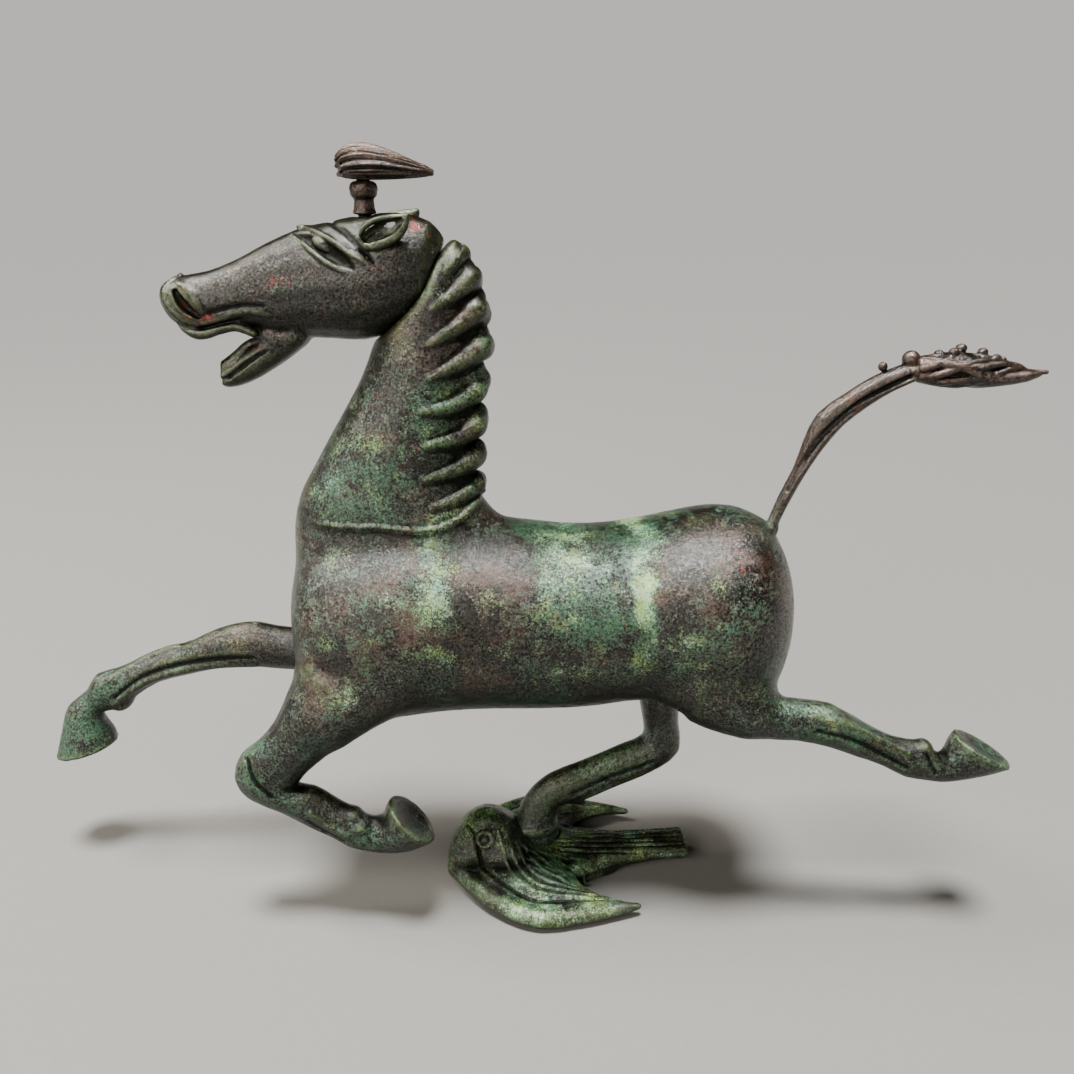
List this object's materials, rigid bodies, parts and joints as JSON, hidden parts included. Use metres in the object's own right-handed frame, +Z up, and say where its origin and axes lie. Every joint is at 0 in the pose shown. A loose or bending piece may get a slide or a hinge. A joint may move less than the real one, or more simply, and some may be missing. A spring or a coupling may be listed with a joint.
{
  "type": "bronze horse statue",
  "caption": "Hollow-cast bronze statuette of a pacing horse with a raised tail and plumed head, one hoof on the back of a flying swallow.",
  "frame": {"origin": "on the flat underside of the swallow, below the horse's middle plane and beside the standing hoof", "axes": "+X towards the horse's tail, +Y towards the horse's right side, +Z up"},
  "size_m": [0.4502, 0.1055, 0.3372],
  "materials": {
    "body_bronze": "satin",
    "neck_bronze": "satin",
    "head_bronze": "satin",
    "crest_bronze": "satin",
    "leg_bronze": "satin",
    "tail_bronze": "satin",
    "swallow_bronze": "satin",
    "core_iron": "matte"
  },
  "bodies": {
    "root": {"chest_casting": "body_bronze", "barrel_casting": "body_bronze", "hindquarter_casting": "body_bronze", "neck_casting": "neck_bronze", "head_casting": "head_bronze", "left_ear": "head_bronze", "right_ear": "head_bronze", "crest_stem": "crest_bronze", "crest_leaf": "crest_bronze", "left_fore_leg": "leg_bronze", "right_fore_leg": "leg_bronze", "left_hind_leg": "leg_bronze", "right_hind_leg": "leg_bronze", "tail_stalk": "tail_bronze", "tail_tuft": "tail_bronze", "swallow_base": "swallow_bronze", "standing_leg_rod": "core_iron", "base_washer": "core_iron", "base_nut": "core_iron", "left_fore_dowel": "core_iron", "right_fore_dowel": "core_iron", "left_hind_dowel": "core_iron", "head_dowel": "core_iron", "front_seam_sleeve": "core_iron", "rear_seam_sleeve": "core_iron", "neck_sleeve": "core_iron"}
  },
  "joints": []
}
